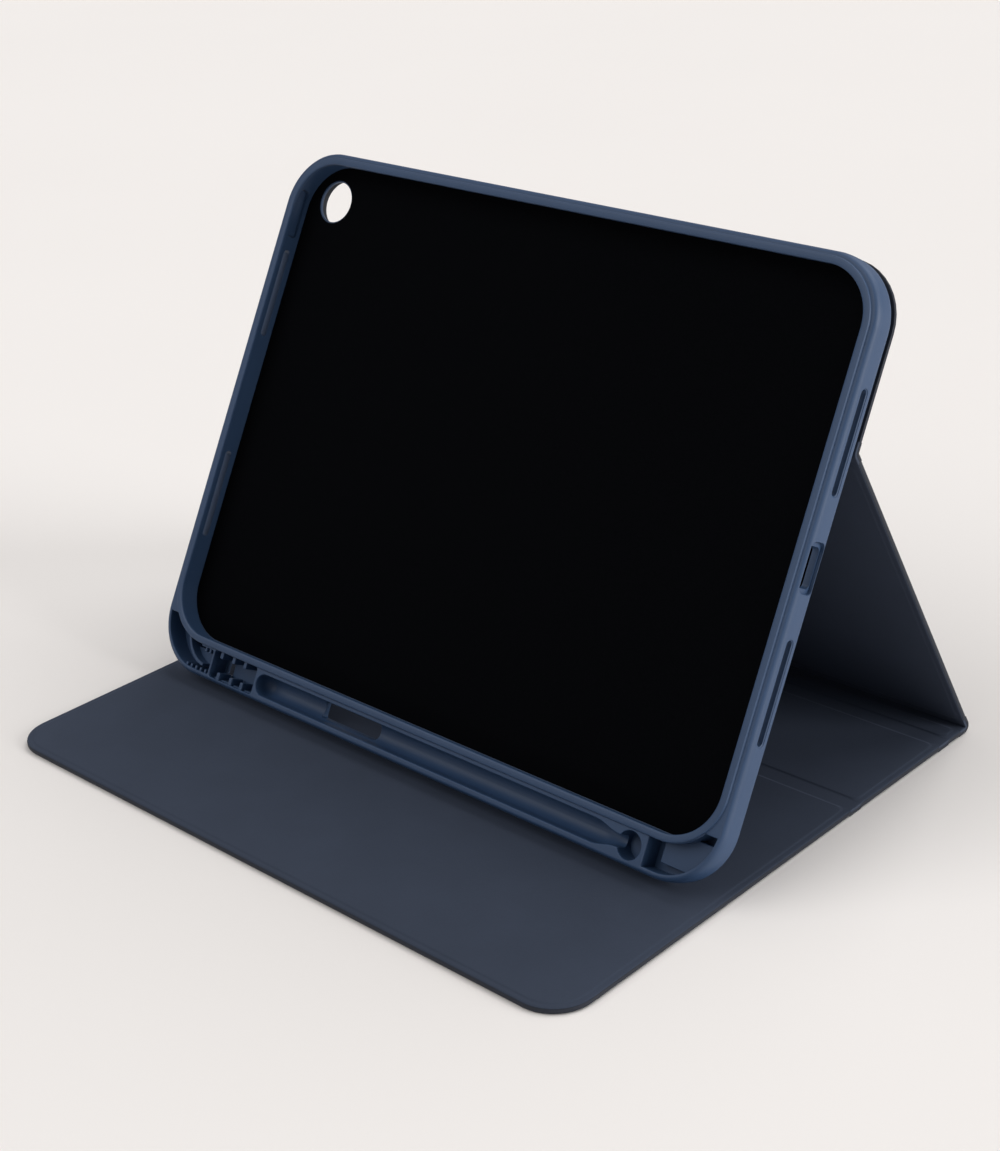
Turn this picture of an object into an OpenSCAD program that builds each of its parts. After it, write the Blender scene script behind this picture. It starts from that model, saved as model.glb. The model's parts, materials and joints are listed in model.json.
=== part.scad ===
// Folio stand case for a tablet, standing open in landscape.
// A moulded tray leans on a folding cover: front panel, rear panel, spine and strut.
// The origin is on the table, under the middle of the case. +X right, +Y back, +Z up.

/* [Tray] */
// Outer width of the tray
tray_w = 256.4; // [250:0.2:264]
// Outer height of the tray, with the pencil rail
tray_h = 196.4; // [194:0.2:204]
// Thickness of the tray from its back face to its front lip
tray_t = 10.2; // [9.8:0.1:11]
// Outer corner radius of the tray
tray_r = 21; // [19:0.5:24]
// Lean of the tray from the table, in degrees
tilt = 62; // [56:0.5:66]
// Thickness of the tray's floor
floor_t = 1.2; // [0.8:0.1:1.4]

/* [Tablet pocket] */
// Width of the pocket
pocket_w = 249; // [246:0.2:250]
// Height of the pocket
pocket_h = 180; // [176:0.2:180.4]
// Corner radius of the pocket
pocket_r = 18.2; // [14:0.2:19]
// Height of the pocket's lower wall above the tray's bottom edge
pocket_y = 13.2; // [13:0.1:14]
// Thickness of the front lip over the pocket
lip_t = 1.6; // [1.2:0.1:2]
// How far the front lip reaches over the pocket
lip_over = 1.25; // [0.8:0.05:2]
// Diameter of the rear camera hole
camera_d = 15; // [12:0.5:18]

/* [Pencil rail] */
// Left end of the pencil groove
groove_x0 = -74; // [-74:0.5:-66]
// Right end of the groove, where its taper stops
groove_x1 = 92; // [88:0.5:93]
// Height of the groove's centre line
groove_y = 6.7; // [6.5:0.1:6.9]
// Radius of the groove
groove_r = 3.8; // [3.2:0.1:4]
// Radius of the finger hole at the groove's right end
finger_r = 4.5; // [3.8:0.1:4.6]

/* [Cover] */
// Width of the cover
cover_w = 255.2; // [248:0.2:256]
// Thickness of a cover panel
panel_t = 2.6; // [2.2:0.1:3.2]
// Thickness of the outer skin
skin_t = 0.7; // [0.5:0.1:0.8]
// Thickness of the inner lining
lining_t = 0.6; // [0.4:0.1:0.8]
// Length of the front panel
front_len = 144.2; // [140:0.2:148]
// Length of the rear panel
rear_len = 52.4; // [48:0.2:56]
// Width of the spine
spine_w = 13.4; // [13:0.1:16]
// Corner radius of the cover's front edge
cover_r = 14; // [8:0.5:20]
// Distance of the boards from a free edge
board_inset = 2.2; // [1.5:0.1:3]
// Distance of the boards from a fold line
fold_inset = 3.3; // [2.5:0.1:4]
// Height of the upper fold above the tray's bottom edge
fold_up = 140; // [136:0.2:144]
// Distance from the cover's front edge to the tray's back bottom edge
foot_in = 73; // [70:0.5:76]

/* [Hidden] */
$fn = 48;

// Running gap between the panels and the tray
gap = 0.3;
// Distance of each panel's end from its fold line
fold_gap = 0.3;
eps = 0.01;

// The upper fold over the stand fold, and the strut that joins them
cover_len = front_len + rear_len + spine_w;
leaf_z = gap + panel_t;
reach_y = cover_len - foot_in - fold_up * cos(tilt) - leaf_z * sin(tilt);
reach_z = gap + fold_up * sin(tilt) - leaf_z * cos(tilt);
strut_len = sqrt(reach_y * reach_y + reach_z * reach_z - panel_t * panel_t);
strut_lean = atan2(reach_z, reach_y) - atan2(panel_t, strut_len);

// Places along Y: front edge, tray's foot, cover fold, spine fold and stand fold
overhang = panel_t * sin(strut_lean) - fold_gap * cos(strut_lean);
front_y = -(cover_len + overhang) / 2;
foot_y = front_y + foot_in;
foot_z = panel_t + gap;
cover_fold_y = front_y + front_len;
spine_fold_y = cover_fold_y + rear_len;
stand_fold_y = spine_fold_y + spine_w;

// Board layer inside a panel
board_z = skin_t;
board_t = panel_t - skin_t - lining_t;
leaf_len = tray_h - fold_up;

// Side wall, lip and rail
window_w = pocket_w - 2 * lip_over;
window_y = pocket_y + lip_over;
window_h = pocket_h - 2 * lip_over;
window_r = pocket_r - lip_over;
ring_inset = 2.2;
ring_t = 0.8;
back_ease = 1;
camera_x = -110.9;
camera_y = pocket_y + pocket_h - 13.6;
nap_t = 0.4;
mid_y = pocket_y + pocket_h / 2;
mid_z = floor_t + nap_t + 3.5;

// Rail: walls, floor, and the height where it meets the rim
rail_wall = 2.3;
rail_floor = 1.8;
rail_h = 12;
rail_end_x = 86;
finger_x = 96.6;
taper_l = 10;
taper_r = 2;
slot_x = -45;
slot_l = 27.2;
slot_h = 6.4;

// Volume pad, its two cells and their stiffening teeth
cell_x0 = -97.9;
cell_x1 = -75.1;
cell_low = 1.8;
cell_top = 11.8;
cell_slot_l = 4;
small_cell_x = -107.5;
small_cell_w = 8.7;
upper_teeth = [-94.3, -87.9, -81.8];
small_teeth = [-103, -100.8];
pad_teeth = [-93.8, -87.1, -81.3];
tooth_w = 1.6;
pad_wall = 2.2;
pad_z0 = 2.6;
pad_z1 = 7.8;
pad_edge = 0.5;

// Corner wells, with a curved rib in the left one and a raised plate in the right one
well_top = 19;
left_well_x = -105.5;
right_well_x = 102.8;
rib_x = -101.5;
rib_y = 16.7;
rib_r = 12.55;
rib_t = 1.1;
rib_end = 1.3;
step_y = 4.4;
step_w = 5.5;
step_z = 5.2;
plate_x = 106.4;
plate_y = 5;
plate_w = 22;
plate_l = 10.6;
plate_drop = 5;

// Power pad in the left wall
power_y = 172;
power_l = 18;
power_z = 3;
power_h = 4.4;
power_t = 2.9;

// Speaker slots and charging port
speaker_off = 38.5;
speaker_l = 33.6;
speaker_d = 2.8;
port_l = 13;
port_h = 6;
port_bay_l = 16;
port_bay_h = 6.8;
port_bay_t = 1.4;

// Magnets in the front panel
closure_x = 62;
closure_size = [24, 5];
closure_in = 12;
wake_x = 96;
wake_size = [12, 8];
wake_in = 40;
lining_inset = 0.6;

tray_blue = [0.24, 0.31, 0.42];
skin_blue = [0.10, 0.13, 0.20];
lining_grey = [0.22, 0.25, 0.31];
board_grey = [0.55, 0.55, 0.53];

// Rectangle with round corners, centred on X, from y = 0 to y = h
module round_rect(w, h, r) {
    translate([-w / 2 + r, 0]) square([w - 2 * r, h]);
    translate([-w / 2, r]) square([w, h - 2 * r]);
    for (x = [-1, 1], y = [r, h - r])
        translate([x * (w / 2 - r), y]) circle(r);
}

// Rectangle whose two corners at y = h are round and whose corners at y = 0 are square
module round_top(w, h, r) {
    translate([-w / 2, 0]) square([w, h - r]);
    translate([-w / 2 + r, 0]) square([w - 2 * r, h]);
    for (x = [-1, 1])
        translate([x * (w / 2 - r), h - r]) circle(r);
}

// Outline of a panel that runs from fold line to fold line
module strip(l, side, end0, end1) {
    translate([-cover_w / 2 + side, end0]) square([cover_w - 2 * side, l - end0 - end1]);
}

// Outline of a panel with a free edge and round corners at y = l
module end_panel(l, r, side, end0) {
    translate([0, end0]) round_top(cover_w - 2 * side, l - end0 - side, r - side);
}

// Outer skin: a sheet with turned edges around the board
module skin_solid() {
    difference() {
        linear_extrude(panel_t - lining_t) children(0);
        translate([0, 0, skin_t]) linear_extrude(panel_t) children(1);
    }
}

module board_solid() {
    translate([0, 0, board_z]) linear_extrude(board_t) children();
}

module lining_solid() {
    translate([0, 0, panel_t - lining_t]) linear_extrude(lining_t) children();
}

// Places on the cover
module at_front() { translate([0, cover_fold_y, 0]) mirror([0, 1, 0]) children(); }
module at_rear() { translate([0, cover_fold_y, 0]) children(); }
module at_spine() { translate([0, spine_fold_y, 0]) children(); }
module at_strut() {
    translate([0, stand_fold_y, panel_t])
        rotate([180 - strut_lean, 0, 0]) translate([0, 0, -panel_t]) children();
}
module at_tray() { translate([0, foot_y, foot_z]) rotate([tilt, 0, 0]) children(); }
module at_leaf() { at_tray() translate([0, fold_up, -leaf_z]) children(); }

module rear_panel_skin() color(skin_blue) at_rear() skin_solid() {
    strip(rear_len, 0, fold_gap, fold_gap);
    strip(rear_len, board_inset, fold_inset, fold_inset);
}
module rear_panel_board() color(board_grey) at_rear() board_solid()
    strip(rear_len, board_inset, fold_inset, fold_inset);
module rear_panel_lining() color(lining_grey) at_rear() lining_solid()
    strip(rear_len, lining_inset, fold_gap, fold_gap);

module spine_skin() color(skin_blue) at_spine() skin_solid() {
    strip(spine_w, 0, fold_gap, fold_gap);
    strip(spine_w, board_inset, fold_inset, fold_inset);
}
module spine_board() color(board_grey) at_spine() board_solid()
    strip(spine_w, board_inset, fold_inset, fold_inset);
module spine_lining() color(lining_grey) at_spine() lining_solid()
    strip(spine_w, lining_inset, fold_gap, fold_gap);

module strut_skin() color(skin_blue) at_strut() skin_solid() {
    strip(strut_len, 0, fold_gap, fold_gap);
    strip(strut_len, board_inset, fold_inset, fold_inset);
}
module strut_board() color(board_grey) at_strut() board_solid()
    strip(strut_len, board_inset, fold_inset, fold_inset);
module strut_lining() color(lining_grey) at_strut() lining_solid()
    strip(strut_len, lining_inset, fold_gap, fold_gap);

module front_panel_skin() color(skin_blue) at_front() skin_solid() {
    end_panel(front_len, cover_r, 0, fold_gap);
    end_panel(front_len, cover_r, board_inset, fold_inset);
}
module front_panel_board() color(board_grey) at_front() difference() {
    board_solid() end_panel(front_len, cover_r, board_inset, fold_inset);
    closure_shapes(board_z - eps, board_t + 2 * eps);
    wake_shape(board_z - eps, board_t + 2 * eps);
}
module front_panel_lining() color(lining_grey) at_front() lining_solid()
    end_panel(front_len, cover_r, lining_inset, fold_gap);

// Magnets set in the front panel's board
module closure_shapes(z, t) {
    for (x = [-closure_x, closure_x])
        translate([x - closure_size[0] / 2, front_len - closure_in, z])
            cube([closure_size[0], closure_size[1], t]);
}
module wake_shape(z, t) { translate([wake_x, front_len - wake_in, z]) cube([wake_size[0], wake_size[1], t]); }
module closure_magnets() color("silver") at_front() closure_shapes(board_z, board_t);
module wake_magnet() color("silver") at_front() wake_shape(board_z, board_t);

// Upper leaf: bonded to the tray's back above the upper fold
module camera_hole(extra) {
    translate([camera_x, camera_y - fold_up, -1]) cylinder(d = camera_d + extra, h = panel_t + 2);
}
module upper_leaf_skin() color(skin_blue) at_leaf() difference() {
    skin_solid() {
        end_panel(leaf_len, tray_r - 1, 0, fold_gap);
        end_panel(leaf_len, tray_r - 1, board_inset, fold_inset);
    }
    camera_hole(2);
}
module upper_leaf_board() color(board_grey) at_leaf() difference() {
    board_solid() end_panel(leaf_len, tray_r - 1, board_inset, fold_inset);
    camera_hole(2);
}
module leaf_adhesive() color(lining_grey) at_leaf() difference() {
    translate([0, 0, panel_t - lining_t]) linear_extrude(lining_t + gap)
        end_panel(leaf_len, tray_r - 1, 1.5, fold_gap);
    camera_hole(2);
}

// Outer form of the tray, with a stepped front lip and an eased back edge
module tray_form() {
    translate([0, back_ease, 0])
        linear_extrude(2 * back_ease)
            round_rect(tray_w - 2 * back_ease, tray_h - 2 * back_ease, tray_r - back_ease);
    translate([0, 0, back_ease])
        linear_extrude(tray_t - ring_t - back_ease) round_rect(tray_w, tray_h, tray_r);
    ring_y = window_y - ring_inset;
    translate([0, ring_y, tray_t - 2 * ring_t])
        linear_extrude(2 * ring_t)
            round_rect(window_w + 2 * ring_inset + 1, window_h + 2 * ring_inset, window_r + ring_inset);
}

// Pencil groove with a round floor, a taper, the finger hole and a through slot
module groove_cut() {
    straight = groove_x1 - taper_l - groove_x0 - groove_r;
    tip_l = finger_x - groove_x1;
    translate([groove_x0 + groove_r, groove_y, rail_floor + groove_r]) {
        sphere(groove_r);
        rotate([0, 90, 0]) cylinder(r = groove_r, h = straight);
        translate([straight, 0, 0]) rotate([0, 90, 0]) cylinder(r1 = groove_r, r2 = taper_r, h = taper_l);
        translate([straight + taper_l - eps, 0, 0]) rotate([0, 90, 0]) cylinder(r = taper_r, h = tip_l);
        cylinder(r = groove_r, h = tray_t);
        translate([0, -groove_r, 0]) cube([straight, 2 * groove_r, tray_t]);
        translate([straight - eps, -taper_r, 0]) cube([taper_l + tip_l, 2 * taper_r, tray_t]);
    }
    translate([finger_x, groove_y, rail_floor]) cylinder(r = finger_r, h = tray_t);
    translate([slot_x, groove_y - slot_h / 2, -1]) cube([slot_l, slot_h, tray_t]);
}

// Two open cells with stiffening teeth over the volume pad, and a slot in their floor
module volume_cells() {
    cell_h = cell_top - cell_low;
    tooth_h = 2.2;
    difference() {
        union() {
            translate([cell_x0, cell_low, rail_floor]) cube([cell_x1 - cell_x0, cell_h, tray_t]);
            translate([small_cell_x, rail_wall, rail_floor])
                cube([small_cell_w, cell_top - rail_wall - 0.6, tray_t]);
        }
        for (x = upper_teeth)
            translate([x - tooth_w / 2, cell_top - tooth_h, rail_floor - eps])
                cube([tooth_w, tooth_h + 1, tray_t]);
        for (x = small_teeth)
            translate([x - 0.5, cell_top - 1.2, rail_floor - eps]) cube([1, 2, tray_t]);
        well_rib();
        well_step();
    }
    translate([cell_x0 + pad_edge, groove_y - slot_h / 2, -1]) cube([cell_slot_l, slot_h, tray_t]);
}

// Open wells in the rail's two corners, outside the tablet's corners
module corner_well(side, x_in) {
    r = tray_r - rail_wall;
    difference() {
        intersection() {
            translate([0, rail_wall, rail_floor])
                linear_extrude(tray_t) round_rect(tray_w - 2 * rail_wall, tray_h - 2 * rail_wall, r);
            translate([side > 0 ? x_in : -tray_w / 2, 0, 0])
                cube([tray_w / 2 - abs(x_in), well_top, 2 * tray_t]);
        }
        translate([0, window_y - ring_inset, 0])
            linear_extrude(2 * tray_t)
                round_rect(window_w + 2 * ring_inset, window_h, window_r + ring_inset);
    }
}

// Curved rib across the left well
module well_rib() {
    difference() {
        translate([rib_x, rib_y, 0]) cylinder(r = rib_r, h = tray_t);
        translate([rib_x, rib_y, -1]) cylinder(r = rib_r - rib_t, h = 2 * tray_t);
        translate([rib_x - 2 * rib_r, rib_y, -1]) cube([4 * rib_r, 4 * rib_r, 2 * tray_t]);
        translate([rib_x - rib_end, 0, -1]) cube([2 * rib_r, rib_y, 2 * tray_t]);
    }
}

// Raised floor between the rib and the small cell's end wall
module well_step() intersection() {
    translate([rib_x, rib_y, 0]) cylinder(r = rib_r - rib_t / 2, h = step_z);
    translate([rib_x - rib_r, step_y, 0]) cube([small_cell_w + rib_r, step_w, step_z]);
}

module side_slot(x, y) {
    reach = 8;
    half = (speaker_l - speaker_d) / 2;
    for (e = [-1, 1])
        translate([x, y + e * half, mid_z])
            rotate([0, 90, 0]) cylinder(d = speaker_d, h = reach, center = true);
    translate([x - reach / 2, y - half, mid_z - speaker_d / 2]) cube([reach, 2 * half, speaker_d]);
}

// The whole moulding, which the next three modules take their parts from
module tray_body() {
    port_y = mid_y - port_l / 2;
    bay_y = mid_y - port_bay_l / 2;
    difference() {
        tray_form();
        // Tablet pocket, the window in front of it and the camera hole
        translate([0, pocket_y, floor_t])
            linear_extrude(tray_t - lip_t - floor_t) round_rect(pocket_w, pocket_h, pocket_r);
        translate([0, window_y, floor_t + 1])
            linear_extrude(tray_t) round_rect(window_w, window_h, window_r);
        translate([camera_x, camera_y, -1]) cylinder(d = camera_d, h = floor_t + 2);
        // Rail
        groove_cut();
        volume_cells();
        difference() {
            corner_well(-1, left_well_x);
            well_rib();
            well_step();
        }
        difference() {
            corner_well(1, right_well_x);
            translate([plate_x, plate_y, 0]) cube([plate_w, plate_l, tray_t - plate_drop]);
        }
        // Volume pad opening in the bottom wall, and power pad opening in the left wall
        translate([cell_x0 + pad_edge, -1, pad_z0])
            cube([cell_x1 - cell_x0 - 2 * pad_edge, rail_wall + 2, pad_z1 - pad_z0]);
        translate([-tray_w / 2 - 1, power_y - power_l / 2, power_z]) cube([6, power_l, power_h]);
        // Speaker slots in both short sides, and the charging port in the right one
        for (x = [-tray_w / 2 + 1.5, tray_w / 2 - 1.5], y = [-speaker_off, speaker_off])
            side_slot(x, mid_y + y);
        translate([tray_w / 2 - 5, port_y, mid_z - port_h / 2]) cube([7, port_l, port_h]);
        translate([tray_w / 2 - port_bay_t, bay_y, mid_z - port_bay_h / 2]) cube([7, port_bay_l, port_bay_h]);
    }
}

// Slab of the tray between two heights along Y and two along Z
module tray_zone(y0, y1, z0, z1, x0 = -tray_w, x1 = tray_w) {
    translate([x0, y0, z0]) cube([x1 - x0, y1 - y0, z1 - z0]);
}

module tray_back() color(tray_blue) at_tray() intersection() {
    tray_body();
    tray_zone(rail_h, tray_h + 1, -1, floor_t);
}
module tray_rim() color(tray_blue) at_tray() intersection() {
    tray_body();
    tray_zone(rail_h, tray_h + 1, floor_t, tray_t + 1);
}
module pencil_rail() color(tray_blue) at_tray() intersection() {
    tray_body();
    tray_zone(-1, rail_h, -1, tray_t + 1, x1 = rail_end_x);
}
module rail_end() color(tray_blue) at_tray() intersection() {
    tray_body();
    tray_zone(-1, rail_h, -1, tray_t + 1, x0 = rail_end_x);
}

module tray_lining() color(lining_grey) at_tray() difference() {
    translate([0, pocket_y + 1, floor_t])
        linear_extrude(nap_t) round_rect(pocket_w - 2, pocket_h - 2, pocket_r - 1);
    translate([camera_x, camera_y, 0]) cylinder(d = camera_d + 1, h = 4);
}

module volume_button() color(tray_blue) at_tray() {
    x0 = cell_x0 + pad_edge + gap;
    x1 = cell_x1 - pad_edge - gap;
    pad_h = pad_z1 - pad_z0 - 2 * gap;
    translate([x0, 0, pad_z0 + gap]) cube([x1 - x0, pad_wall, pad_h]);
    for (x = pad_teeth)
        translate([x - tooth_w / 2, pad_wall - eps, pad_z0 + gap]) cube([tooth_w, pad_wall, pad_h]);
}

module power_button() color(tray_blue) at_tray()
    translate([-tray_w / 2, power_y - power_l / 2 + gap, power_z + gap])
        cube([power_t, power_l - 2 * gap, power_h - 2 * gap]);

rear_panel_skin();
rear_panel_board();
rear_panel_lining();
front_panel_skin();
front_panel_board();
front_panel_lining();
closure_magnets();
wake_magnet();
spine_skin();
spine_board();
spine_lining();
strut_skin();
strut_board();
strut_lining();
upper_leaf_skin();
upper_leaf_board();
leaf_adhesive();
tray_back();
tray_rim();
pencil_rail();
rail_end();
tray_lining();
volume_button();
power_button();
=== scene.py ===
import json
import math

import bmesh
import bpy
from mathutils import Euler, Matrix, Vector


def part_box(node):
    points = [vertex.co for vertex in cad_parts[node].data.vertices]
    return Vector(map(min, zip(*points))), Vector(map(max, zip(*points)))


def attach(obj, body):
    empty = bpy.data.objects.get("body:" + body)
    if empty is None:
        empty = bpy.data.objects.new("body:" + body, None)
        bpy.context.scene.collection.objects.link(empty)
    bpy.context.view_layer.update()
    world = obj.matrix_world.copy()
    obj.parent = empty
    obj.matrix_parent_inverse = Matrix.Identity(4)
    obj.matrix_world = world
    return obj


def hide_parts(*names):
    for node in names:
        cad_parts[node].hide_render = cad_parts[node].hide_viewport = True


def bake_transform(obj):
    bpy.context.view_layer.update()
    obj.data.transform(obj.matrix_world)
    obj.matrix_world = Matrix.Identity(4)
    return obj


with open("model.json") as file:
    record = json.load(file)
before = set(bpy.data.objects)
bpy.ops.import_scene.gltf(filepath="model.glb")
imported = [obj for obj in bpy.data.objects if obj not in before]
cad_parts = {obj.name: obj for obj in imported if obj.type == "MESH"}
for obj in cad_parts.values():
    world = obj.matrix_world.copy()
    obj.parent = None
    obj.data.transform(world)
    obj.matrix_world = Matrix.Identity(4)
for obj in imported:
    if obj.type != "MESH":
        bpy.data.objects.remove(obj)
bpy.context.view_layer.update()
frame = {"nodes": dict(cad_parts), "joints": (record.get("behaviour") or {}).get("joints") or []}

# Shapes are drawn in millimetres in a local place, and put in the row frame in metres.
MM = 0.001
joints = {j["name"]: j for j in frame["joints"]}


def fold_point(name):
    """A fold's place in the row frame, in millimetres."""
    return Vector(joints[name]["pos_m"]) / MM


COVER_FOLD = fold_point("cover_fold")
SPINE_FOLD = fold_point("spine_fold")
STAND_FOLD = fold_point("stand_fold")
UPPER_FOLD = fold_point("tray_fold")

# Cover: COVER_W runs along X, and lengths run from one fold line to the next.
PANEL_T = STAND_FOLD.z
SKIN_LOW, SKIN_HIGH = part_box("rear_panel_skin")
COVER_W = (SKIN_HIGH[0] - SKIN_LOW[0]) / MM
FRONT_LEN = COVER_FOLD.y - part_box("front_panel_skin")[0][1] / MM
REAR_LEN = SPINE_FOLD.y - COVER_FOLD.y
SPINE_W = STAND_FOLD.y - SPINE_FOLD.y
COVER_R = 14

# Tray, in its own place: X along the long side, Y up from the foot, Z out of the pocket
TILT = math.radians(62)
TRAY_W, TRAY_H, TRAY_T, TRAY_R = 256.4, 196.4, 10.2, 21
FOLD_UP = 140
LEAF_Z = 2.9
FLOOR_T = 1.2
NAP_T, NAP_GAP = 0.4, 0.35
POCKET_W, POCKET_H, POCKET_R, POCKET_Y = 249, 180, 18.2, 13.2
LIP_T, LIP_OVER, RING_W = 1.6, 1.25, 2.57
DECK = 9.36
RAIL_FLOOR, RAIL_WALL = 1.8, 2.3
CAMERA_X, CAMERA_Y, CAMERA_D = -110.9, 179.6, 15

# Places: base, tray, strut and leaf, from local millimetres to the row frame in metres
strut_way = Vector((0, UPPER_FOLD.y - STAND_FOLD.y, UPPER_FOLD.z - STAND_FOLD.z))
STRUT_LEN = math.sqrt(strut_way.length ** 2 - PANEL_T ** 2)
strut_turn = math.atan2(strut_way.z, strut_way.y) + math.atan2(PANEL_T, STRUT_LEN)


def place(origin, turn=0.0, shift=(0, 0, 0)):
    """Matrix that turns a local place about X at an origin given in millimetres."""
    move = Matrix.Translation(Vector(origin)) @ Matrix.Rotation(turn, 4, "X")
    return Matrix.Scale(MM, 4) @ move @ Matrix.Translation(Vector(shift))


tray_origin = UPPER_FOLD - Matrix.Rotation(TILT, 3, "X") @ Vector((0, FOLD_UP, -LEAF_Z))
AT_TRAY = place(tray_origin, TILT)
AT_LEAF = place(tray_origin, TILT, (0, FOLD_UP, -LEAF_Z))
AT_STRUT = place(STAND_FOLD, strut_turn, (0, 0, -PANEL_T))
AT_REAR = place((0, COVER_FOLD.y, 0))
AT_SPINE = place((0, SPINE_FOLD.y, 0))
AT_FRONT = AT_REAR @ Matrix.Rotation(math.pi, 4, "Z")


# ---------------------------------------------------------------- materials
def shader(name, colour, roughness, **sockets):
    """A material with a Principled shader, and its nodes and links."""
    material = bpy.data.materials.new(name)
    material.use_nodes = True
    tree = material.node_tree
    principled = tree.nodes["Principled BSDF"]
    principled.inputs["Base Color"].default_value = (*colour, 1)
    principled.inputs["Roughness"].default_value = roughness
    for socket, value in sockets.items():
        principled.inputs[socket.replace("_", " ")].default_value = value
    return material, tree, principled


def node(tree, kind, **values):
    """A shader node with its inputs or settings given by name."""
    made = tree.nodes.new(kind)
    for key, value in values.items():
        if key in made.inputs:
            made.inputs[key].default_value = value
        else:
            setattr(made, key, value)
    return made


def position(tree):
    """Object coordinates, which are metres on every piece."""
    return tree.nodes.new("ShaderNodeTexCoord").outputs["Object"]


def noise(tree, where, scale, detail=2.0, roughness=0.5):
    """Cloudy noise from 0 to 1."""
    made = node(tree, "ShaderNodeTexNoise", Scale=scale, Detail=detail, Roughness=roughness)
    tree.links.new(where, made.inputs["Vector"])
    return made.outputs["Fac"]


def mix_colours(tree, factor, low, high):
    """Colours from low to high as a factor goes from its low to its high end."""
    ramp = tree.nodes.new("ShaderNodeValToRGB")
    ramp.color_ramp.elements[0].position = 0.3
    ramp.color_ramp.elements[1].position = 0.7
    ramp.color_ramp.elements[0].color = (*low, 1)
    ramp.color_ramp.elements[1].color = (*high, 1)
    tree.links.new(factor, ramp.inputs["Fac"])
    return ramp.outputs["Color"]


def span(tree, factor, low, high):
    """Maps a factor of 0 to 1 onto low to high."""
    made = tree.nodes.new("ShaderNodeMapRange")
    made.inputs["To Min"].default_value = low
    made.inputs["To Max"].default_value = high
    tree.links.new(factor, made.inputs["Value"])
    return made.outputs["Result"]


def add_bump(tree, principled, heights):
    """Chains bumps, each a height, a distance in metres and a strength."""
    normal = None
    for height, distance, strength in heights:
        bump = node(tree, "ShaderNodeBump", Distance=distance, Strength=strength)
        tree.links.new(height, bump.inputs["Height"])
        if normal is not None:
            tree.links.new(normal, bump.inputs["Normal"])
        normal = bump.outputs["Normal"]
    tree.links.new(normal, principled.inputs["Normal"])


def moulded_rubber():
    """Satin moulded soft plastic with a fine spark-eroded surface."""
    colour = (0.024, 0.057, 0.128)
    material, tree, principled = shader("moulded_rubber", colour, 0.52, IOR=1.5)
    where = position(tree)
    cloudy = noise(tree, where, 28, 3)
    grain = noise(tree, where, 5200, 2)
    tint = mix_colours(tree, cloudy, (0.0225, 0.054, 0.122), (0.0255, 0.060, 0.134))
    tree.links.new(tint, principled.inputs["Base Color"])
    tree.links.new(span(tree, cloudy, 0.49, 0.56), principled.inputs["Roughness"])
    ripple = noise(tree, where, 420, 1)
    add_bump(tree, principled, [(grain, 0.00003, 0.35), (ripple, 0.00004, 0.12)])
    return material


def brushed_lining():
    """Grey-blue microfibre, with a short brushed nap and faint mottling."""
    colour = (0.030, 0.040, 0.063)
    material, tree, principled = shader("brushed_lining", colour, 0.86, IOR=1.4)
    principled.inputs["Specular IOR Level"].default_value = 0.3
    principled.inputs["Sheen Weight"].default_value = 0.12
    principled.inputs["Sheen Roughness"].default_value = 0.5
    principled.inputs["Sheen Tint"].default_value = (0.6, 0.7, 1.0, 1)
    where = position(tree)
    mottle = noise(tree, where, 45, 4, 0.6)
    fibre = noise(tree, where, 2600, 3, 0.7)
    clumps = noise(tree, where, 700, 2)
    blend = node(tree, "ShaderNodeMath", operation="ADD")
    tree.links.new(span(tree, mottle, 0, 0.45), blend.inputs[0])
    tree.links.new(span(tree, fibre, 0, 0.55), blend.inputs[1])
    tint = mix_colours(tree, blend.outputs[0], (0.026, 0.035, 0.055), (0.034, 0.045, 0.071))
    tree.links.new(tint, principled.inputs["Base Color"])
    add_bump(tree, principled, [(fibre, 0.00008, 0.5), (clumps, 0.00006, 0.3)])
    return material


def pocket_nap():
    """Near-black microfibre on the pocket's floor."""
    material, tree, principled = shader("pocket_nap", (0.002, 0.0022, 0.003), 0.95, IOR=1.3)
    principled.inputs["Specular IOR Level"].default_value = 0.05
    where = position(tree)
    fibre = noise(tree, where, 2600, 3, 0.7)
    tint = mix_colours(tree, fibre, (0.0014, 0.0016, 0.0022), (0.0026, 0.0029, 0.0038))
    tree.links.new(tint, principled.inputs["Base Color"])
    add_bump(tree, principled, [(fibre, 0.00008, 0.5)])
    return material


def grained_skin():
    """Matt artificial leather with a fine pebble grain."""
    colour = (0.012, 0.016, 0.027)
    material, tree, principled = shader("grained_skin", colour, 0.6, IOR=1.45)
    principled.inputs["Specular IOR Level"].default_value = 0.4
    where = position(tree)
    pebbles = node(tree, "ShaderNodeTexVoronoi", feature="DISTANCE_TO_EDGE", Scale=1150.0)
    warp = node(tree, "ShaderNodeMixRGB", blend_type="ADD", Fac=0.0006)
    wander = node(tree, "ShaderNodeTexNoise", Scale=300.0, Detail=2.0)
    tree.links.new(where, wander.inputs["Vector"])
    tree.links.new(where, warp.inputs["Color1"])
    tree.links.new(wander.outputs["Color"], warp.inputs["Color2"])
    tree.links.new(warp.outputs["Color"], pebbles.inputs["Vector"])
    cloudy = noise(tree, where, 35, 3)
    tint = mix_colours(tree, cloudy, (0.0105, 0.0140, 0.0240), (0.0135, 0.0180, 0.0300))
    tree.links.new(tint, principled.inputs["Base Color"])
    tree.links.new(span(tree, cloudy, 0.55, 0.66), principled.inputs["Roughness"])
    rounded = span(tree, pebbles.outputs["Distance"], 0, 1)
    add_bump(tree, principled, [(rounded, 0.00016, 0.5)])
    return material


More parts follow.
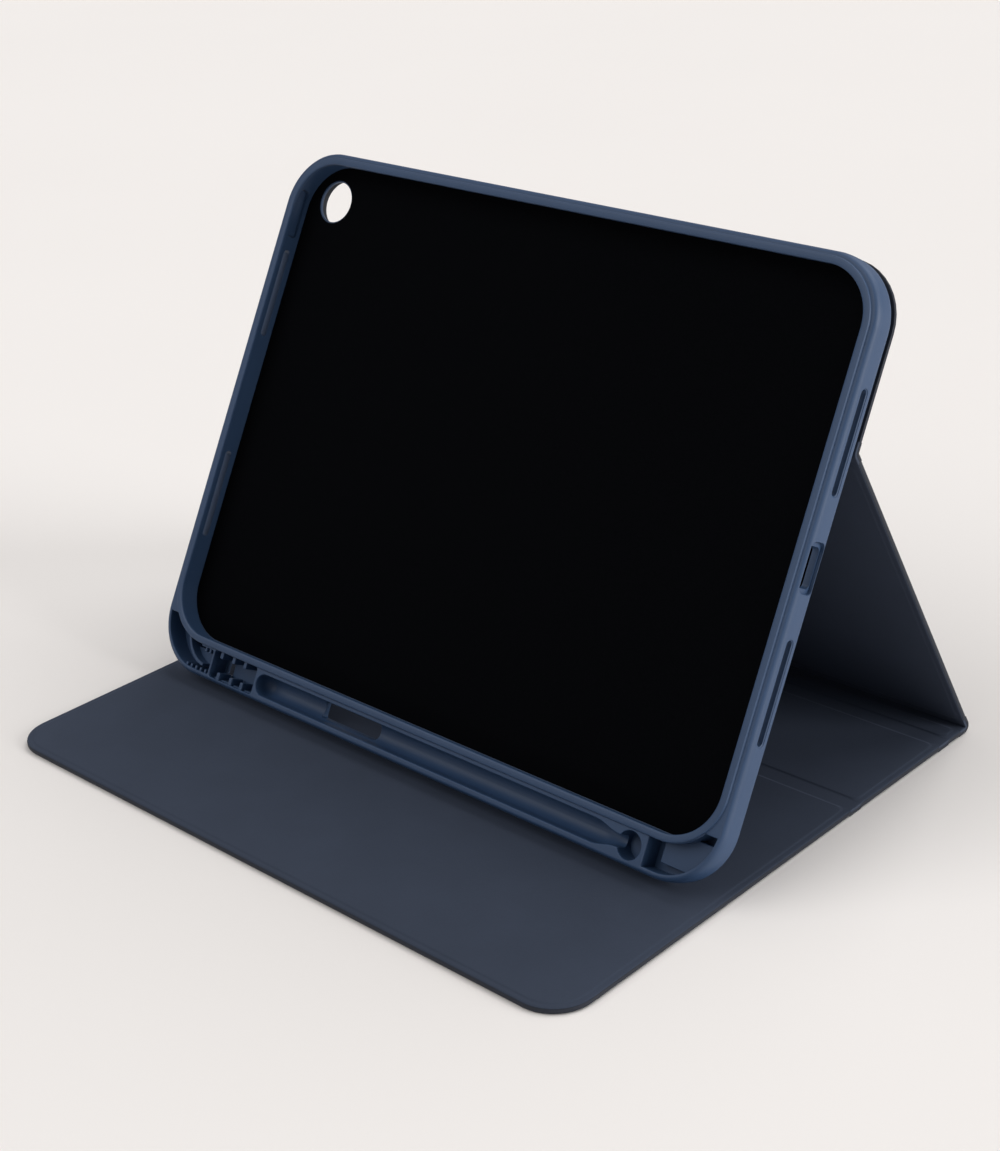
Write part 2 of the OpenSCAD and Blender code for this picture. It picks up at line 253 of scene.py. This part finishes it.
def pressed_board():
    """Dark grey pressed board with paper fibres."""
    material, tree, principled = shader("pressed_board", (0.020, 0.022, 0.027), 0.9)
    where = position(tree)
    fibre = noise(tree, where, 900, 4, 0.7)
    tint = mix_colours(tree, fibre, (0.014, 0.016, 0.020), (0.028, 0.030, 0.036))
    tree.links.new(tint, principled.inputs["Base Color"])
    add_bump(tree, principled, [(fibre, 0.0001, 0.4)])
    return material


def adhesive_film():
    """Thin dark bonding film."""
    material, tree, principled = shader("adhesive_film", (0.012, 0.014, 0.02), 0.7)
    where = position(tree)
    smear = noise(tree, where, 300, 2)
    tree.links.new(span(tree, smear, 0.55, 0.8), principled.inputs["Roughness"])
    add_bump(tree, principled, [(smear, 0.00005, 0.3)])
    return material


def plated_magnet():
    """Nickel-plated magnet."""
    material, tree, principled = shader("plated_magnet", (0.6, 0.6, 0.62), 0.3, Metallic=1.0)
    where = position(tree)
    worn = noise(tree, where, 600, 3)
    tree.links.new(span(tree, worn, 0.22, 0.42), principled.inputs["Roughness"])
    return material


RUBBER = moulded_rubber()
LINING = brushed_lining()
NAP = pocket_nap()
SKIN = grained_skin()


# ---------------------------------------------------------------- mesh tools
def face_outwards(mesh):
    """Turns every face of a closed mesh outwards."""
    made = bmesh.new()
    made.from_mesh(mesh)
    bmesh.ops.recalc_face_normals(made, faces=made.faces)
    made.to_mesh(mesh)
    made.free()


def make_object(name, points, faces, matrix=None):
    """A mesh object from points and faces, with its normals outside."""
    mesh = bpy.data.meshes.new(name)
    mesh.from_pydata([tuple(p) for p in points], [], faces)
    mesh.validate()
    face_outwards(mesh)
    made = bpy.data.objects.new(name, mesh)
    bpy.context.scene.collection.objects.link(made)
    if matrix is not None:
        mesh.transform(matrix)
    return made


def outline(w, y0, y1, r0, r1, steps=10):
    """Rectangle centred on X from y0 to y1 with corner radii r0 and r1, counter-clockwise."""
    corners = [
        (w / 2 - r0, y0 + r0, r0, -90),
        (w / 2 - r1, y1 - r1, r1, 0),
        (-w / 2 + r1, y1 - r1, r1, 90),
        (-w / 2 + r0, y0 + r0, r0, 180),
    ]
    points = []
    for x, y, r, start in corners:
        for k in range(steps + 1):
            a = math.radians(start + 90 * k / steps)
            points.append((x + r * math.cos(a), y + r * math.sin(a)))
    return points


def loft(name, rings, matrix=None):
    """Joins rings of equal length, each a list of points, and closes both ends."""
    n = len(rings[0])
    points = [p for ring in rings for p in ring]
    faces = []
    for k in range(len(rings) - 1):
        for i in range(n):
            j = (i + 1) % n
            a, b = k * n, (k + 1) * n
            faces.append((a + i, a + j, b + j, b + i))
    last = (len(rings) - 1) * n
    faces.append(tuple(reversed(range(n))))
    faces.append(tuple(range(last, last + n)))
    return make_object(name, points, faces, matrix)


def level(points, z):
    """A flat outline at height z."""
    return [(x, y, z) for x, y in points]


def finish_piece(piece, material, angle=32):
    """Gives a piece its material and smooth shading, with edges over angle degrees kept sharp."""
    mesh = piece.data
    mesh.materials.clear()
    mesh.materials.append(material)
    mesh.polygons.foreach_set("use_smooth", [True] * len(mesh.polygons))
    mesh.set_sharp_from_angle(angle=math.radians(angle))
    weighted = piece.modifiers.new("even_normals", "WEIGHTED_NORMAL")
    weighted.keep_sharp = True


def combine(target, other, operation):
    """Exact boolean of two closed meshes. The result is in target, and other is used up."""
    made = target.modifiers.new("combine", "BOOLEAN")
    made.operation = operation
    made.solver = "EXACT"
    made.object = other
    graph = bpy.context.evaluated_depsgraph_get()
    mesh = bpy.data.meshes.new_from_object(target.evaluated_get(graph))
    if len(mesh.polygons) < len(target.data.polygons) // 2:
        raise ValueError(f"the {operation.lower()} on {target.name} failed")
    target.modifiers.clear()
    target.data = mesh
    bpy.data.objects.remove(other)


# ---------------------------------------------------------------- cover panels
# Each row is the inset from a free side, the inset from a fold line, the height, and the
# radius of the corners at a fold.
LINING_PROFILE = [
    (1.2, 3.2, 1.9, 0.5), (0.30, 2.45, 1.9, 0.5), (0.14, 2.40, 2.0, 0.5), (0.16, 2.42, 2.16, 0.5),
    (0.4, 2.55, 2.30, 0.6), (0.9, 2.75, 2.35, 0.8), (1.6, 3.0, 2.36, 1.6), (1.95, 3.2, 2.39, 2.2),
    (2.2, 3.42, 2.50, 2.4), (2.45, 3.65, 2.575, 2.4), (2.9, 4.0, 2.6, 2.2), (4.5, 5.4, 2.6, 1.0),
]
SKIN_PROFILE = [
    (2.2, 3.3, 0.7, 0.3), (2.2, 3.3, 2.0, 0.3), (0.25, 2.5, 2.0, 0.5), (0.05, 2.45, 1.9, 0.5),
    (0.0, 2.42, 1.6, 0.5), (0.0, 2.42, 0.9, 0.5), (0.1, 2.45, 0.55, 0.5), (0.35, 2.55, 0.28, 0.6),
    (0.8, 2.75, 0.16, 0.8), (1.6, 3.0, 0.13, 1.6), (2.0, 3.3, 0.09, 2.2), (2.4, 3.6, 0.02, 2.4),
    (3.0, 4.2, 0.0, 2.2), (4.6, 5.4, 0.0, 1.0),
]
# A fold's strip: how far it stays inside the cover's sides and reaches past the hinge, the
# steps of each arm and of the bend, and how full its section is at distances from its ends.
STRIP_SIDE, STRIP_ARM = 0.06, 3.1
ARM_STEPS, BEND_STEPS = 6, 10
STRIP_ENDS = ((0.0, 0.7), (0.08, 0.9), (0.3, 1.0))
SKIN_DEPTHS, LINING_DEPTHS = (0.13, 1.25), (1.25, 2.33)


def panel_rings(profile, length, free_r):
    """Rings of a panel from a fold line at y = 0 to a second fold, or to a free end."""
    rings = []
    for side, end, z, corner in profile:
        if free_r:
            shape = outline(COVER_W - 2 * side, end, length - side, corner, free_r - side)
        else:
            shape = outline(COVER_W - 2 * side, end, length - end, corner, corner)
        rings.append(level(shape, z))
    return rings


def body_name(panel):
    """Every panel is a body of its own, but the upper leaf is bonded to the tray."""
    return "tray" if panel == "upper_leaf" else panel


def lining_piece(panel, length, matrix, free_r=0):
    """A panel's lining, a cloth sheet pressed round the board's edge. Returns its flat size."""
    piece = loft(panel + "_lining_cloth", panel_rings(LINING_PROFILE, length, free_r), matrix)
    finish_piece(piece, LINING)
    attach(piece, body_name(panel))
    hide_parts(panel + "_lining")
    side, end = LINING_PROFILE[2][:2]
    return ((COVER_W - 2 * side) * MM, (length - end - (side if free_r else end)) * MM)


def skin_piece(panel, length, matrix, free_r=0, hole=None):
    """A panel's outer skin with turned edges, open over the board."""
    piece = loft("cutting", panel_rings(SKIN_PROFILE, length, free_r))
    if hole:
        through = cutter(disc(*hole), [(-1.0, 0.35), (0.0, 0.35), (0.1, 0.1), (0.35, 0), (4.0, 0)])
        combine(piece, through, "DIFFERENCE")
    piece.name = panel + "_skin_cover"
    piece.data.transform(matrix)
    finish_piece(piece, SKIN)
    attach(piece, body_name(panel))
    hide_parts(panel + "_skin")


def fold_strip(name, material, fold, ways, sides, depths):
    """A strip of skin or lining that crosses a fold.

    fold is the hinge's point, ways the two directions away from it, and sides the two normals
    that depths are measured along.
    """
    turn = math.atan2(sides[0].cross(sides[1]).x, sides[0].dot(sides[1]))

    def path(depth):
        """Along the first arm, round the hinge and out along the second arm."""
        shares = [k / ARM_STEPS for k in range(1, ARM_STEPS + 1)]
        points = [fold + ways[0] * (STRIP_ARM * share) + sides[0] * depth for share in reversed(shares)]
        for k in range(BEND_STEPS + 1):
            points.append(fold + Matrix.Rotation(turn * k / BEND_STEPS, 3, "X") @ sides[0] * depth)
        points += [fold + ways[1] * (STRIP_ARM * share) + sides[1] * depth for share in shares]
        return points

    low, high = path(depths[0]), path(depths[1])
    if abs(turn) < 1e-3:  # a flat fold has no bend, so its points there would coincide
        del low[ARM_STEPS + 1:ARM_STEPS + 1 + BEND_STEPS]
        del high[ARM_STEPS + 1:ARM_STEPS + 1 + BEND_STEPS]
    half = COVER_W / 2 - STRIP_SIDE
    rings = [strip_ring(low, high, x - half, fullness) for x, fullness in STRIP_ENDS]
    rings += [strip_ring(low, high, half - x, fullness) for x, fullness in reversed(STRIP_ENDS)]
    piece = loft(name, rings, Matrix.Scale(MM, 4))
    finish_piece(piece, material, 60)
    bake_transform(piece)


def strip_ring(low, high, x, fullness):
    """Closed section of a strip at x, thinner where fullness is under 1."""
    ring = []
    for near, far in ((low, high), (list(reversed(high)), list(reversed(low)))):
        for a, b in zip(near, far):
            middle = (a + b) / 2
            p = middle + (a - middle) * fullness
            ring.append((x, p.y, p.z))
    return ring


# ---------------------------------------------------------------- cutters
def cutter(shape, levels):
    """Closed mesh whose section at each height is shape(growth)."""
    return loft("cutter", [level(shape(growth), z) for z, growth in levels])


def disc(x, y, r, steps=48):
    """Circle that grows in radius."""
    def shape(growth):
        turns = [2 * math.pi * k / steps for k in range(steps)]
        return [(x + (r + growth) * math.cos(a), y + (r + growth) * math.sin(a)) for a in turns]
    return shape


def slab(x0, x1, y0, y1, r, steps=6):
    """Rounded rectangle that grows on every side."""
    def shape(growth):
        corner = max(r + growth, 0.05)
        points = outline(x1 - x0 + 2 * growth, y0 - growth, y1 + growth, corner, corner, steps)
        return [(x + (x0 + x1) / 2, y) for x, y in points]
    return shape


def rim(z, r=0.35, floor=None):
    """Levels of a cutter that opens at height z with a round rim of radius r."""
    levels = [(z + 2, r)]
    for k in range(4):
        a = math.radians(30 * k)
        levels.append((z - r * (1 - math.cos(a)), r * (1 - math.sin(a))))
    if floor is not None:
        levels.append((floor, 0))
    return levels


def side_cutter(side, y0, y1, z0, z1, r, levels):
    """Cutter along X through a short side's wall. levels are distances from the wall and growths."""
    shape = slab(y0, y1, z0, z1, r)
    rings = []
    for distance, growth in levels:
        x = side * (TRAY_W / 2 - distance)
        rings.append([(x, y, z) for y, z in shape(growth)])
    return loft("cutter", rings)


def wall_rim(r, depth):
    """Levels of a side cutter, from outside the wall inwards."""
    levels = [(-2, r)]
    for k in range(4):
        a = math.radians(30 * k)
        levels.append((r * (1 - math.cos(a)), r * (1 - math.sin(a))))
    levels.append((depth, 0))
    return levels


# ---------------------------------------------------------------- tray
# Rail, from left to right: left well, small cell, toothed cell, groove with its slot, finger
# hole and right well. Each row of teeth is a row of places along X.
GROOVE_X0, GROOVE_X1, TAPER_L = -74, 92, 10
GROOVE_Y, GROOVE_R, TAPER_R = 6.7, 3.8, 2
FINGER_X, FINGER_R = 96.6, 4.5
SLOT_X0, SLOT_X1, SLOT_HALF = -45, -17.8, 3.2
CELL_X0, CELL_X1, CELL_LOW, CELL_TOP = -97.9, -75.1, 1.8, 11.8
SMALL_CELL_X0, SMALL_CELL_X1 = -107.5, -98.8
UPPER_TEETH = (-94.3, -87.9, -81.8)
PAD_TEETH = (-93.8, -87.1, -81.3)
SMALL_TEETH = (-103.0, -100.8)
SMALL_LOW_TEETH = (-110.6, -108.2, -105.6, -103.1, -100.6)
TOOTH_W = 1.6
CELL_WINDOW_L, CELL_WINDOW_HALF = 4, 3.0
WELL_TOP = 19
LEFT_WELL_X, RIGHT_WELL_X = 105.5, 102.8
RIB_X, RIB_Y, RIB_R, RIB_T = -101.5, 16.7, 12.0, 1.1
RIB_START, RIB_SWEEP = 196, 68
STEP_Y, STEP_Z = 4.4, 5.2
PLATE_X, PLATE_Y0, PLATE_Y1 = 106.4, 5.0, 15.6

# Openings in the walls: half lengths and half heights, or the ends along Y or Z
MID_Y = POCKET_Y + POCKET_H / 2
MID_Z = FLOOR_T + NAP_T + 3.5
SPEAKER_OFF, SPEAKER_L, SPEAKER_H = 38.5, 16.4, 1.4
SPEAKER_RIM = ((-2, 0.4), (0.1, 0.38), (0.26, 0.24), (0.36, 0.0), (8, 0))
PORT_L, PORT_H = 6.5, 3
PORT_RECESS_L, PORT_RECESS_H, PORT_RECESS_DEPTH = 8, 3.4, 1.4
POWER_Y0, POWER_Y1, POWER_Z0, POWER_Z1 = 163, 181, 3.0, 7.4
VOLUME_X0, VOLUME_X1, VOLUME_Z0, VOLUME_Z1 = CELL_X0 + 0.5, CELL_X1 - 0.5, 2.6, 7.8
PAD_GAP = 0.3
WINDOW_W, WINDOW_Y = POCKET_W - 2 * LIP_OVER, POCKET_Y + LIP_OVER
WINDOW_TOP, WINDOW_R = POCKET_Y + POCKET_H - LIP_OVER, POCKET_R - LIP_OVER


def tray_outline(inset, steps=18):
    """The tray's outer outline, drawn in."""
    return outline(TRAY_W - 2 * inset, inset, TRAY_H - inset, TRAY_R - inset, TRAY_R - inset, steps)


def window_outline(grow, steps=18):
    """The outline of the window over the pocket, grown."""
    r = WINDOW_R + grow
    return outline(WINDOW_W + 2 * grow, WINDOW_Y - grow, WINDOW_TOP + grow, r, r, steps)


# Inset and height up the outer wall, then growth and height across the lip and down inside
WALL_PROFILE = [
    (3.0, 0.0), (1.9, 0.13), (1.05, 0.5), (0.42, 1.15), (0.1, 2.0), (0.0, 3.0), (0.0, 5.2), (0.06, 6.6),
    (0.22, 7.7), (0.5, 8.5), (0.9, 9.02), (1.3, 9.28), (1.6, DECK),
]
LIP_PROFILE = [
    (RING_W + 0.08, DECK), (RING_W, 9.46), (RING_W - 0.05, 9.85), (RING_W - 0.22, 10.08),
    (RING_W - 0.6, 10.19), (1.6, 10.2), (0.7, 10.18), (0.28, 10.08), (0.06, 9.88), (0.0, 9.6),
    (0.0, 8.85), (0.1, 8.66), (0.3, 8.6), (LIP_OVER, 8.6), (LIP_OVER, 1.7), (LIP_OVER - 0.12, 1.35),
    (LIP_OVER - 0.5, FLOOR_T),
]


def groove_cutter():
    """Groove with a round floor and left end, and a taper into the finger hole."""
    axis_z = RAIL_FLOOR + GROOVE_R
    left = GROOVE_X0 + GROOVE_R
    side = [(FINGER_X, TAPER_R)]
    for k in range(13):
        eased = 0.5 - 0.5 * math.cos(math.pi * k / 12)
        side.append((GROOVE_X1 - TAPER_L * k / 12, TAPER_R + (GROOVE_R - TAPER_R) * eased))
    side.append((left, GROOVE_R))
    turns = [math.radians(-90 - 15 * k) for k in range(1, 12)]

    def ring(reach):
        """One section. reach gives half its width and its height where the groove has radius r."""
        near = [(x, GROOVE_Y - reach(r)[0], reach(r)[1]) for x, r in side]
        far = [(x, GROOVE_Y + reach(r)[0], reach(r)[1]) for x, r in reversed(side)]
        width, height = reach(GROOVE_R)
        end = [(left + width * math.cos(a), GROOVE_Y + width * math.sin(a), height) for a in turns]
        return near + end + far

    rings = [ring(lambda r: (r + growth, z)) for z, growth in rim(DECK, 0.4)]
    for degrees in (0, 10, 20, 30, 40, 50, 60, 70, 78, 85):
        a = math.radians(degrees)
        rings.append(ring(lambda r: (r * math.cos(a), axis_z - r * math.sin(a))))
    return loft("cutter", rings)


def well_shape(side, x_in, steps=14):
    """Corner well between the outer wall and the wall round the tablet's corner."""
    def shape(growth):
        inset = RAIL_WALL - growth
        r = TRAY_R - inset
        top = WELL_TOP + growth
        cx, cy = TRAY_W / 2 - TRAY_R, TRAY_R
        points = [(x_in - growth, inset)]
        end = math.asin((top - cy) / r)
        for k in range(steps + 1):
            a = -math.pi / 2 + (end + math.pi / 2) * k / steps
            points.append((cx + r * math.cos(a), cy + r * math.sin(a)))
        grow = RING_W + 0.1 - growth
        ir = WINDOW_R + grow
        ix, iy = WINDOW_W / 2 - WINDOW_R, WINDOW_Y + WINDOW_R
        start = math.asin((top - iy) / ir)
        for k in range(steps + 1):
            a = start + (-math.pi / 2 - start) * k / steps
            points.append((ix + ir * math.cos(a), iy + ir * math.sin(a)))
        points.append((x_in - growth, iy - ir))
        if side < 0:
            points = [(-x, y) for x, y in reversed(points)]
        return points
    return shape


def tray_mesh():
    """The whole moulding, in its own place, in millimetres."""
    rings = [level(tray_outline(d), z) for d, z in WALL_PROFILE]
    rings += [level(window_outline(g), z) for g, z in LIP_PROFILE]
    tray = loft("tray_moulding", rings)
    cuts = [
        cutter(well_shape(-1, LEFT_WELL_X), rim(DECK, 0.35, RAIL_FLOOR)),
        cutter(well_shape(1, RIGHT_WELL_X), rim(DECK, 0.35, RAIL_FLOOR)),
        cutter(slab(CELL_X0, CELL_X1, CELL_LOW, CELL_TOP, 1.1), rim(DECK, 0.3, RAIL_FLOOR)),
        cutter(slab(SMALL_CELL_X0, SMALL_CELL_X1, RAIL_WALL, CELL_TOP - 0.6, 0.7),
               rim(DECK, 0.3, RAIL_FLOOR)),
        cutter(slab(CELL_X0 + 0.5, CELL_X0 + 0.5 + CELL_WINDOW_L, GROOVE_Y - CELL_WINDOW_HALF,
                    GROOVE_Y + CELL_WINDOW_HALF, 0.8), [(-1, 0), (4, 0)]),
        groove_cutter(),
        cutter(disc(FINGER_X, GROOVE_Y, FINGER_R), rim(DECK, 0.35, RAIL_FLOOR)),
        cutter(slab(SLOT_X0, SLOT_X1, GROOVE_Y - SLOT_HALF, GROOVE_Y + SLOT_HALF, 1.0),
               [(-1, 0), (RAIL_FLOOR + 3.5, 0)]),
        cutter(disc(CAMERA_X, CAMERA_Y, CAMERA_D / 2),
               [(-1, 0.3), (0, 0.3), (0.1, 0.1), (0.3, 0), (4, 0)]),
    ]
    for side in (-1, 1):
        for y in (MID_Y - SPEAKER_OFF, MID_Y + SPEAKER_OFF):
            cuts.append(side_cutter(side, y - SPEAKER_L, y + SPEAKER_L, MID_Z - SPEAKER_H,
                                    MID_Z + SPEAKER_H, 1.39, SPEAKER_RIM))
    cuts.append(side_cutter(1, MID_Y - PORT_L, MID_Y + PORT_L, MID_Z - PORT_H, MID_Z + PORT_H, 1.6,
                            [(-2, 0), (8, 0)]))
    cuts.append(side_cutter(1, MID_Y - PORT_RECESS_L, MID_Y + PORT_RECESS_L, MID_Z - PORT_RECESS_H,
                            MID_Z + PORT_RECESS_H, 1.8, wall_rim(0.3, PORT_RECESS_DEPTH)))
    cuts.append(side_cutter(-1, POWER_Y0, POWER_Y1, POWER_Z0, POWER_Z1, 1.2, wall_rim(0.2, 6)))
    volume = slab(VOLUME_X0, VOLUME_X1, VOLUME_Z0, VOLUME_Z1, 0.8)
    levels = ((-1, 0.2), (0.0, 0.2), (0.25, 0), (3.2, 0))
    cuts.append(loft("cutter", [[(x, y, z) for x, z in volume(growth)] for y, growth in levels]))
    for made in cuts:
        combine(tray, made, "DIFFERENCE")
    for made in tray_ribs():
        combine(tray, made, "UNION")
    return tray


def block(x0, x1, y0, y1, z0, z1, r=0.35):
    """Small upright block with round corners and an eased top."""
    return cutter(slab(x0, x1, y0, y1, r, 3),
                  [(z0, 0), (z1 - 0.3, 0), (z1 - 0.1, -0.08), (z1, -0.25)])


def tray_ribs():
    """Stiffening teeth, the left well's curved rib and raised floor, and the right well's plate."""
    low, high = RAIL_FLOOR - 0.4, DECK - 0.35
    made = [block(x - TOOTH_W / 2, x + TOOTH_W / 2, CELL_TOP - 2.4, CELL_TOP + 0.4, low, high)
            for x in UPPER_TEETH]
    for x in SMALL_TEETH:
        made.append(block(x - 0.5, x + 0.5, CELL_TOP - 2.2, CELL_TOP, low, high, 0.2))
    for x in SMALL_LOW_TEETH:
        made.append(block(x - 0.5, x + 0.5, RAIL_WALL - 0.4, RAIL_WALL + 1.3, low, high, 0.2))

    def rib(growth):
        thick = RIB_T / 2 + growth
        arc = [math.radians(RIB_START + RIB_SWEEP * k / 14) for k in range(15)]
        path = [(RIB_R + thick, a) for a in arc] + [(RIB_R - thick, a) for a in reversed(arc)]
        return [(RIB_X + r * math.cos(a), RIB_Y + r * math.sin(a)) for r, a in path]
    made.append(cutter(rib, [(low, 0), (high - 0.2, 0), (high, -0.2)]))
    floor = block(RIB_X - RIB_R, SMALL_CELL_X1 + 0.5, STEP_Y, CELL_TOP - 1.9, low, STEP_Z)
    combine(floor, cutter(disc(RIB_X, RIB_Y, RIB_R), [(0, 0), (DECK, 0)]), "INTERSECT")
    made.append(floor)
    plate = block(PLATE_X, TRAY_W / 2, PLATE_Y0, PLATE_Y1, low, STEP_Z)
    combine(plate, cutter(well_shape(1, RIGHT_WELL_X), [(0, 0.6), (DECK, 0.6)]), "INTERSECT")
    made.append(plate)
    return made


# ---------------------------------------------------------------- pieces
PANELS = [
    ("rear_panel", REAR_LEN, AT_REAR),
    ("front_panel", FRONT_LEN, AT_FRONT),
    ("spine", SPINE_W, AT_SPINE),
    ("strut", STRUT_LEN, AT_STRUT),
]


def make_cover():
    """The lining and skin of each panel, and the upper leaf's skin. Returns the linings' flat sizes."""
    flat_sizes = {}
    for panel, length, matrix in PANELS:
        free_r = COVER_R if panel == "front_panel" else 0
        flat_sizes[panel] = lining_piece(panel, length, matrix, free_r)
        skin_piece(panel, length, matrix, free_r)
    leaf_len = TRAY_H - FOLD_UP
    camera = (CAMERA_X, CAMERA_Y - FOLD_UP, CAMERA_D / 2 + 1)
    skin_piece("upper_leaf", leaf_len, AT_LEAF, TRAY_R - 1, camera)
    return flat_sizes


def make_folds():
    """The strips of lining and skin across the four folds."""
    back, ahead, up, down = (Vector((0, y, z)) for y, z in ((1, 0), (-1, 0), (0, 1), (0, -1)))
    strut_up = Matrix.Rotation(strut_turn, 3, "X") @ back
    strut_in = Matrix.Rotation(strut_turn, 3, "X") @ up
    leaf_up = Matrix.Rotation(TILT, 3, "X") @ back
    leaf_in = Matrix.Rotation(TILT, 3, "X") @ up
    skin, lining = SKIN_DEPTHS, LINING_DEPTHS
    skin_out, lining_out = [(PANEL_T - deep, PANEL_T - shallow) for shallow, deep in (skin, lining)]
    folds = [
        ("cover_fold", COVER_FOLD, (back, ahead), (up, up), ("rear_panel", "front_panel"), skin, lining),
        ("spine_fold", SPINE_FOLD, (ahead, back), (up, up), ("rear_panel", "spine"), skin, lining),
        ("stand_fold", STAND_FOLD, (ahead, strut_up), (down, -strut_in), ("spine", "strut"),
         skin_out, lining_out),
        ("upper_fold", UPPER_FOLD, (-strut_up, leaf_up), (strut_in, leaf_in), ("strut", "tray"),
         skin, lining),
    ]
    for name, fold, ways, sides, bodies, skin_depths, lining_depths in folds:
        fold_strip(name + "_skin_strip", SKIN, fold, ways, sides, skin_depths)
        fold_strip(name + "_lining_strip", LINING, fold, ways, sides, lining_depths)


def make_tray():
    """The moulding and the cloth on the pocket's floor."""
    tray = tray_mesh()
    tray.data.transform(AT_TRAY)
    finish_piece(tray, RUBBER, 30)
    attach(tray, "tray")
    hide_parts("tray_back", "tray_rim", "pencil_rail", "rail_end")
    x, y0, y1 = POCKET_W / 2 - NAP_GAP, POCKET_Y + NAP_GAP, POCKET_Y + POCKET_H - NAP_GAP
    floor = cutter(slab(-x, x, y0, y1, POCKET_R - NAP_GAP, 12),
                   [(FLOOR_T, 0), (FLOOR_T + 0.25, 0), (FLOOR_T + 0.37, -0.1), (FLOOR_T + NAP_T, -0.4)])
    combine(floor, cutter(disc(CAMERA_X, CAMERA_Y, CAMERA_D / 2 + 0.5), [(0, 0), (4, 0)]), "DIFFERENCE")
    floor.name = "pocket_floor_cloth"
    floor.data.transform(AT_TRAY)
    finish_piece(floor, NAP)
    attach(floor, "tray")
    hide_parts("tray_lining")


def make_pads():
    """Volume pad with its teeth, and power pad."""
    x0, x1 = VOLUME_X0 + PAD_GAP, VOLUME_X1 - PAD_GAP
    z0, z1 = VOLUME_Z0 + PAD_GAP, VOLUME_Z1 - PAD_GAP
    face = slab(x0, x1, z0, z1, 0.9)
    rings = [[(x, y, z) for x, z in face(g)] for y, g in ((0.0, -0.5), (0.08, -0.2), (0.3, 0), (2.2, 0))]
    volume = loft("volume_pad", rings)
    for x in PAD_TEETH:
        tooth = block(x - TOOTH_W / 2, x + TOOTH_W / 2, 1.6, 4.4, z0 + 0.2, DECK - 0.6)
        combine(volume, tooth, "UNION")
    volume.data.transform(AT_TRAY)
    finish_piece(volume, RUBBER, 40)
    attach(volume, "volume_button")
    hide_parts("volume_button")
    face = slab(POWER_Y0 + PAD_GAP, POWER_Y1 - PAD_GAP, POWER_Z0 + PAD_GAP, POWER_Z1 - PAD_GAP, 1.0)
    rings = [[(-TRAY_W / 2 + x, y, z) for y, z in face(g)]
             for x, g in ((2.9, 0), (0.35, 0), (0.1, -0.2), (0.0, -0.5))]
    power = loft("power_pad", rings, AT_TRAY)
    finish_piece(power, RUBBER, 40)
    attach(power, "power_button")
    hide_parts("power_button")


def dress_hidden_nodes():
    """Materials for the CAD nodes that stay: boards, magnets and adhesive."""
    board, film, magnet = pressed_board(), adhesive_film(), plated_magnet()
    for name, piece in frame["nodes"].items():
        if "board" in name:
            material = board
        elif "magnet" in name:
            material = magnet
        elif name == "leaf_adhesive":
            material = film
        else:
            continue
        if not piece.material_slots:
            piece.data.materials.append(material)
        for held in piece.material_slots:
            held.material = material


lining_sizes = make_cover()
make_folds()
make_tray()
make_pads()
dress_hidden_nodes()


# ---------------------------------------------------------------- stage
def soft_light(name, azimuth, elevation, spread, power):
    """Broad even light from a direction, azimuth 0 being the front and 90 the right, in degrees."""
    data = bpy.data.lights.new(name, "SUN")
    data.angle = math.radians(spread)
    data.energy = power
    lamp = bpy.data.objects.new(name, data)
    lamp.rotation_euler = (math.radians(90 - elevation), 0, math.radians(azimuth))
    bpy.context.scene.collection.objects.link(lamp)


def make_stage():
    """Plain pale floor, even surroundings and three broad lamps."""
    material, tree, principled = shader("pale_floor", (0.86, 0.83, 0.81), 0.9)
    principled.inputs["Specular IOR Level"].default_value = 0.2
    faint = noise(tree, position(tree), 3, 2)
    tint = mix_colours(tree, faint, (0.855, 0.825, 0.805), (0.865, 0.835, 0.815))
    tree.links.new(tint, principled.inputs["Base Color"])
    half = 6.0
    floor = make_object("floor", [(-half, -half, 0), (half, -half, 0), (half, half, 0), (-half, half, 0)],
                        [(0, 1, 2, 3)])
    floor.data.materials.append(material)
    world = bpy.data.worlds.new("studio")
    world.use_nodes = True
    background = world.node_tree.nodes["Background"]
    background.inputs["Color"].default_value = (1.0, 0.965, 0.945, 1)
    background.inputs["Strength"].default_value = 0.25
    bpy.context.scene.world = world
    bpy.context.scene.view_settings.view_transform = "Standard"
    soft_light("front", -30, 50, 50, 1.15)
    soft_light("right", 106, 12, 36, 2.4)
    soft_light("back", 170, 50, 60, 1.44)


def make_camera():
    """The photograph's view, from the right and a little above."""
    azimuth, elevation, roll = (math.radians(a) for a in (43.18, 22.69, -2.39))
    data = bpy.data.cameras.new("camera")
    data.sensor_width = 36
    data.lens = 66.97
    data.shift_x, data.shift_y = -0.0141, -0.0734
    data.clip_start, data.clip_end = 0.02, 50
    camera = bpy.data.objects.new("camera", data)
    turn = Euler((math.pi / 2 - elevation, 0, azimuth)).to_matrix() @ Matrix.Rotation(roll, 3, "Z")
    camera.matrix_world = Matrix.Translation((0.4562, -0.4646, 0.3640)) @ turn.to_4x4()
    bpy.context.scene.collection.objects.link(camera)
    bpy.context.scene.camera = camera


make_stage()
make_camera()
